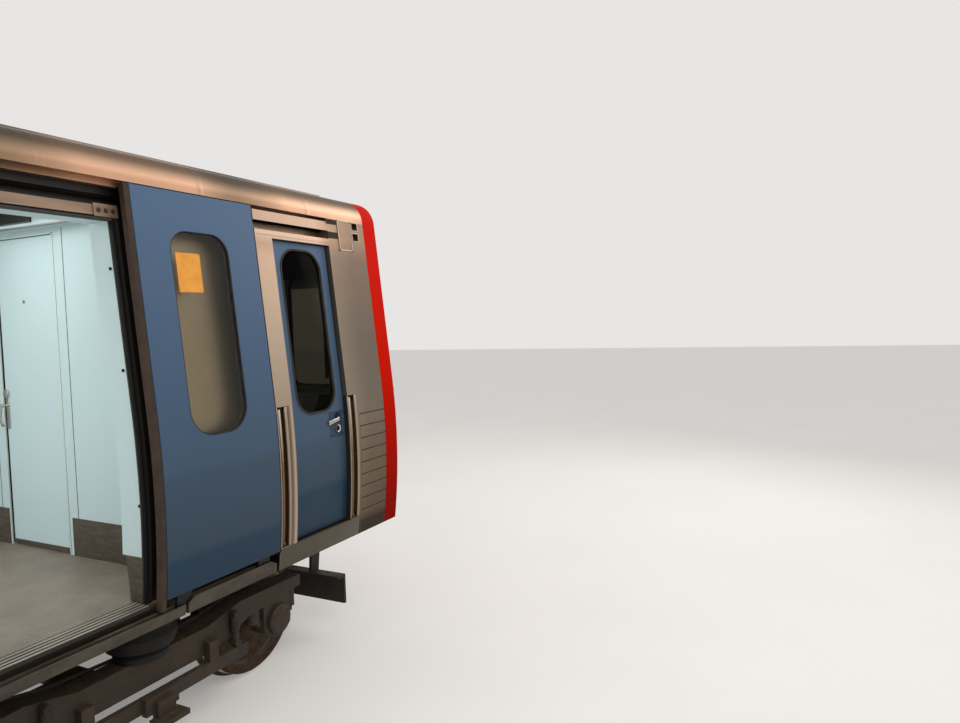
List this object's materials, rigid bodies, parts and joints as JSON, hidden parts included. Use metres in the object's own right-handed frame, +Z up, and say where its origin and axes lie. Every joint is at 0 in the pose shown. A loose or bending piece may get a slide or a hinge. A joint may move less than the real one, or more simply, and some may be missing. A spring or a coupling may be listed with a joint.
{
  "type": "metro car",
  "caption": "Metro car with a cab at one end, outside sliding door leaves, curved leaning sides and two powered bogies.",
  "frame": {"origin": "under the middle of the car, level with the lowest point of the wheel flanges", "axes": "+X towards the cab end, +Y to the left, +Z up"},
  "size_m": [16.05, 2.79, 3.6832],
  "materials": {
    "aluminium": "anodised, worn",
    "black_steel": "matt black",
    "blue_paint": "semi-gloss blue",
    "case_paint": "satin dark grey",
    "cast_steel": "dusty dark brown",
    "ceiling_panel": "satin warm white",
    "desk_plastic": "textured dark grey",
    "floor_rubber": "ribbed dark grey",
    "lamp_diffuser": "opal",
    "lamp_glass": "clear lens",
    "lining": "satin pale teal laminate",
    "rail_steel": "polished",
    "red_paint": "gloss red",
    "roof_paint": "satin warm grey",
    "seat_fabric": "dark woven",
    "seat_plastic": "moulded blue",
    "spring_rubber": "matt",
    "stainless": "brushed, warm grey",
    "wheel_steel": "rolled, bright tread",
    "window_glass": "clear with a green tint"
  },
  "bodies": {
    "car_body": {"air_tanks": "black_steel", "cab_bulkhead": "lining", "cab_desk": "desk_plastic", "cab_handrails": "rail_steel", "cab_side_left": "stainless", "cab_side_right": "stainless", "ceiling": "ceiling_panel", "ceiling_lamps": "lamp_diffuser", "door_gear": "black_steel", "door_sills": "aluminium", "doorway_linings": "lining", "driver_seat": "seat_fabric", "equipment_cases": "case_paint", "floor": "floor_rubber", "front_deflector": "black_steel", "front_lamps": "lamp_glass", "front_panel": "stainless", "front_surround": "red_paint", "grab_poles": "rail_steel", "jacking_pads": "black_steel", "rear_end": "stainless", "roof": "roof_paint", "roof_vents": "roof_paint", "saloon_seats": "seat_plastic", "side_glass": "window_glass", "side_wall_left": "stainless", "side_wall_right": "stainless", "underframe": "black_steel", "windscreen": "window_glass"},
    "bogie_front": {"air_springs_front": "spring_rubber", "bogie_frame_front": "cast_steel", "collector_shoes_front": "cast_steel", "traction_motors_front": "cast_steel"},
    "bogie_rear": {"air_springs_rear": "spring_rubber", "bogie_frame_rear": "cast_steel", "collector_shoes_rear": "cast_steel", "traction_motors_rear": "cast_steel"},
    "wheelset_1": {"wheelset_1": "wheel_steel"},
    "wheelset_2": {"wheelset_2": "wheel_steel"},
    "wheelset_3": {"wheelset_3": "wheel_steel"},
    "wheelset_4": {"wheelset_4": "wheel_steel"},
    "bulkhead_door": {"bulkhead_door": "lining"},
    "cab_door_left": {"cab_door_left": "blue_paint"},
    "cab_door_right": {"cab_door_right": "blue_paint"},
    "front_coupler": {"front_coupler": "cast_steel"},
    "leaf_left_1_front": {"leaf_left_1_front": "blue_paint"},
    "leaf_left_1_rear": {"leaf_left_1_rear": "blue_paint"},
    "leaf_left_2_front": {"leaf_left_2_front": "blue_paint"},
    "leaf_left_2_rear": {"leaf_left_2_rear": "blue_paint"},
    "leaf_left_3_front": {"leaf_left_3_front": "blue_paint"},
    "leaf_left_3_rear": {"leaf_left_3_rear": "blue_paint"},
    "leaf_right_1_front": {"leaf_right_1_front": "blue_paint"},
    "leaf_right_1_rear": {"leaf_right_1_rear": "blue_paint"},
    "leaf_right_2_front": {"leaf_right_2_front": "blue_paint"},
    "leaf_right_2_rear": {"leaf_right_2_rear": "blue_paint"},
    "leaf_right_3_front": {"leaf_right_3_front": "blue_paint"},
    "leaf_right_3_rear": {"leaf_right_3_rear": "blue_paint"},
    "rear_coupler": {"rear_coupler": "cast_steel"},
    "rear_door": {"rear_door": "lining"}
  },
  "joints": [
    {"name": "bogie_front_yaw", "type": "hinge", "parent": "car_body", "child": "bogie_front", "pos_m": [5.55, 0, 0.75], "axis": [0, 0, 1], "range_deg": [-4, 4], "stiffness_Nm_per_rad": 120000},
    {"name": "bogie_rear_yaw", "type": "hinge", "parent": "car_body", "child": "bogie_rear", "pos_m": [-5.55, 0, 0.75], "axis": [0, 0, 1], "range_deg": [-4, 4], "stiffness_Nm_per_rad": 120000},
    {"name": "wheelset_1_spin", "type": "hinge", "parent": "bogie_front", "child": "wheelset_1", "pos_m": [6.6, 0, 0.448], "axis": [0, 1, 0], "continuous": true},
    {"name": "wheelset_2_spin", "type": "hinge", "parent": "bogie_front", "child": "wheelset_2", "pos_m": [4.5, 0, 0.448], "axis": [0, 1, 0], "continuous": true},
    {"name": "wheelset_3_spin", "type": "hinge", "parent": "bogie_rear", "child": "wheelset_3", "pos_m": [-4.5, 0, 0.448], "axis": [0, 1, 0], "continuous": true},
    {"name": "wheelset_4_spin", "type": "hinge", "parent": "bogie_rear", "child": "wheelset_4", "pos_m": [-6.6, 0, 0.448], "axis": [0, 1, 0], "continuous": true},
    {"name": "leaf_left_1_front_slide", "type": "slide", "parent": "car_body", "child": "leaf_left_1_front", "axis": [1, 0, 0], "range_m": [0, 0.9]},
    {"name": "leaf_left_1_rear_slide", "type": "slide", "parent": "car_body", "child": "leaf_left_1_rear", "axis": [1, 0, 0], "range_m": [-0.9, 0]},
    {"name": "leaf_left_2_front_slide", "type": "slide", "parent": "car_body", "child": "leaf_left_2_front", "axis": [1, 0, 0], "range_m": [0, 0.9]},
    {"name": "leaf_left_2_rear_slide", "type": "slide", "parent": "car_body", "child": "leaf_left_2_rear", "axis": [1, 0, 0], "range_m": [-0.9, 0]},
    {"name": "leaf_left_3_front_slide", "type": "slide", "parent": "car_body", "child": "leaf_left_3_front", "axis": [1, 0, 0], "range_m": [0, 0.9]},
    {"name": "leaf_left_3_rear_slide", "type": "slide", "parent": "car_body", "child": "leaf_left_3_rear", "axis": [1, 0, 0], "range_m": [-0.9, 0]},
    {"name": "leaf_right_1_front_slide", "type": "slide", "parent": "car_body", "child": "leaf_right_1_front", "axis": [1, 0, 0], "range_m": [-0.9, 0]},
    {"name": "leaf_right_1_rear_slide", "type": "slide", "parent": "car_body", "child": "leaf_right_1_rear", "axis": [1, 0, 0], "range_m": [0, 0.9]},
    {"name": "leaf_right_2_front_slide", "type": "slide", "parent": "car_body", "child": "leaf_right_2_front", "axis": [1, 0, 0], "range_m": [-0.9, 0]},
    {"name": "leaf_right_2_rear_slide", "type": "slide", "parent": "car_body", "child": "leaf_right_2_rear", "axis": [1, 0, 0], "range_m": [0, 0.9]},
    {"name": "leaf_right_3_front_slide", "type": "slide", "parent": "car_body", "child": "leaf_right_3_front", "axis": [1, 0, 0], "range_m": [-0.9, 0]},
    {"name": "leaf_right_3_rear_slide", "type": "slide", "parent": "car_body", "child": "leaf_right_3_rear", "axis": [1, 0, 0], "range_m": [0, 0.9]},
    {"name": "cab_door_left_swing", "type": "hinge", "parent": "car_body", "child": "cab_door_left", "pos_m": [6.501, 1.13145, 3.09], "axis": [0, 0.0349, -0.9994], "range_deg": [0, 85]},
    {"name": "cab_door_right_swing", "type": "hinge", "parent": "car_body", "child": "cab_door_right", "pos_m": [6.501, -1.13145, 3.09], "axis": [0, 0.0349, 0.9994], "range_deg": [0, 85]},
    {"name": "bulkhead_door_swing", "type": "hinge", "parent": "car_body", "child": "bulkhead_door", "pos_m": [5.85, -0.042, 1.5], "axis": [0, 0, -1], "range_deg": [0, 90]},
    {"name": "rear_door_swing", "type": "hinge", "parent": "car_body", "child": "rear_door", "pos_m": [-7.671, -0.327, 1.5], "axis": [0, 0, -1], "range_deg": [0, 90]},
    {"name": "front_coupler_swing", "type": "hinge", "parent": "car_body", "child": "front_coupler", "pos_m": [7.2, 0, 0.748], "axis": [0, 0, 1], "range_deg": [-15, 15]},
    {"name": "rear_coupler_swing", "type": "hinge", "parent": "car_body", "child": "rear_coupler", "pos_m": [-7.2, 0, 0.748], "axis": [0, 0, 1], "range_deg": [-15, 15]}
  ],
  "couplings": [
    {"joint": "leaf_left_1_rear_slide", "follows": "leaf_left_1_front_slide", "ratio": -1},
    {"joint": "leaf_left_2_rear_slide", "follows": "leaf_left_2_front_slide", "ratio": -1},
    {"joint": "leaf_left_3_rear_slide", "follows": "leaf_left_3_front_slide", "ratio": -1},
    {"joint": "leaf_right_1_rear_slide", "follows": "leaf_right_1_front_slide", "ratio": -1},
    {"joint": "leaf_right_2_rear_slide", "follows": "leaf_right_2_front_slide", "ratio": -1},
    {"joint": "leaf_right_3_rear_slide", "follows": "leaf_right_3_front_slide", "ratio": -1}
  ]
}
